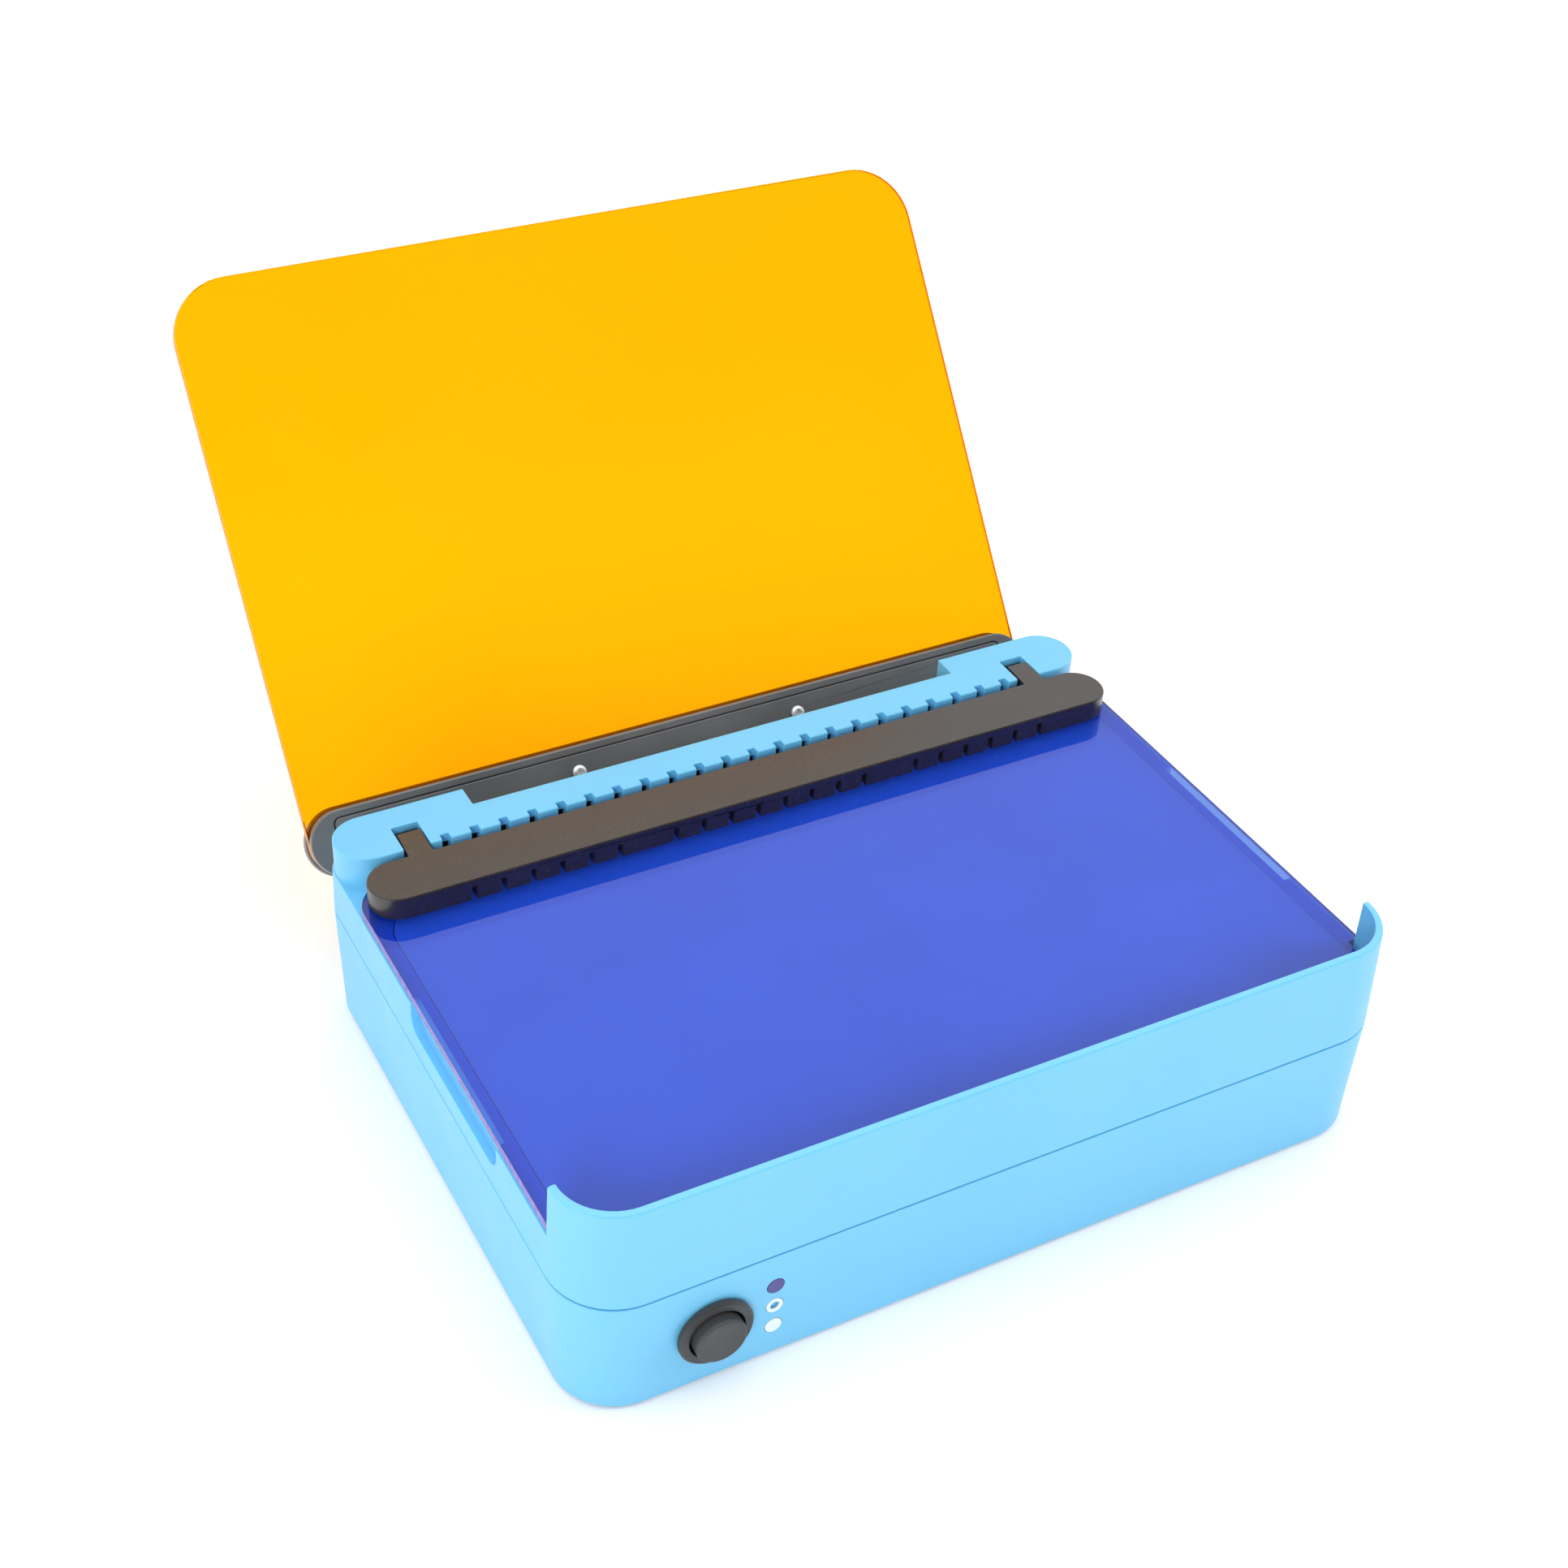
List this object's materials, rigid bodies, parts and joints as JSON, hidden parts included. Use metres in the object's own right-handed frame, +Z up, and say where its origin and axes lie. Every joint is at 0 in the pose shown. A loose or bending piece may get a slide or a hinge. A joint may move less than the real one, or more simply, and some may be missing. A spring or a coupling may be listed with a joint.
{
  "type": "gel transilluminator",
  "caption": "Bench-top light box for viewing gels: two-part housing, blue filter plate, vent bar, rocker switch and a hinged amber lid.",
  "frame": {"origin": "centre of the lower housing's flat underside, 1 mm above the surface that the feet stand on", "axes": "+X to the right along the hinge line, +Y to the rear where the lid is hinged, +Z up"},
  "size_m": [0.275, 0.3326, 0.1979],
  "materials": {
    "shell_blue": "satin moulded ABS, light blue",
    "filter_blue": "polished blue filter acrylic, almost opaque from above",
    "amber_acrylic": "polished amber filter acrylic",
    "satin_black": "satin black moulding",
    "switch_black": "fine-grained black nylon",
    "opal_white": "opal white diffusing plastic",
    "board_white": "white solder mask",
    "board_green": "green solder mask",
    "led_blue": "blue emitter chips on a white strip",
    "led_white": "white emitter chips on a white strip",
    "mark_purple": "flat pad print",
    "mark_white": "flat pad print",
    "wire_red": "PVC insulation",
    "foam_black": "open-cell foam",
    "rubber": "moulded rubber",
    "steel": "nickel-plated",
    "brass": "plain",
    "aluminium": "plain rolled sheet"
  },
  "bodies": {
    "base": {"lower_housing": "shell_blue", "upper_housing": "shell_blue", "vent_dust_strip": "foam_black", "diffuser_sheet": "opal_white", "light_box_frame": "opal_white", "led_board": "board_white", "heat_spreader": "aluminium", "led_row_blue_1": "led_blue", "led_row_white_2": "led_white", "led_row_blue_3": "led_blue", "led_row_white_4": "led_white", "led_row_blue_5": "led_blue", "board_screw_1": "steel", "board_screw_2": "steel", "board_screw_3": "steel", "board_screw_4": "steel", "driver_board": "board_green", "driver_coil": "switch_black", "driver_capacitor": "aluminium", "switch_body": "switch_black", "switch_terminal_1": "brass", "switch_terminal_2": "brass", "switch_terminal_3": "brass", "mark_blue_light": "mark_purple", "mark_off": "mark_white", "mark_white_light": "mark_white", "power_jack": "switch_black", "power_jack_nut": "steel", "wire_jack_to_driver": "wire_red", "wire_driver_to_switch": "wire_red", "wire_driver_to_leds": "wire_red", "foot_1": "rubber", "foot_2": "rubber", "foot_3": "rubber", "foot_4": "rubber", "housing_screw_1": "steel", "housing_screw_2": "steel", "housing_screw_3": "steel", "housing_screw_4": "steel", "hinge_pin_left": "steel", "hinge_pin_right": "steel", "hinge_washer_left": "opal_white", "hinge_washer_right": "opal_white"},
    "lid": {"lid_sheet": "amber_acrylic", "lid_clamp_inner": "satin_black", "lid_clamp_outer": "satin_black", "lid_hinge_leaf": "satin_black", "lid_screw_1": "steel", "lid_screw_2": "steel", "lid_screw_3": "steel", "lid_screw_4": "steel"},
    "rocker": {"switch_rocker": "switch_black"},
    "plate": {"filter_plate": "filter_blue"},
    "bar": {"vent_bar": "satin_black"}
  },
  "joints": [
    {"name": "lid_hinge", "type": "hinge", "parent": "base", "child": "lid", "pos_m": [0, 0.0938, 0.0542], "axis": [1, 0, 0], "range_deg": [-8, 126.3]},
    {"name": "rocker_pivot", "type": "hinge", "parent": "base", "child": "rocker", "pos_m": [-0.0965, -0.1005, 0.0206], "axis": [1, 0, 0], "range_deg": [-9, 9]},
    {"name": "plate_lift", "type": "slide", "parent": "base", "child": "plate", "axis": [0, 0, 1], "range_m": [0, 0.0014]},
    {"name": "bar_lift", "type": "slide", "parent": "plate", "child": "bar", "axis": [0, 0, 1], "range_m": [0, 0.0014]}
  ]
}
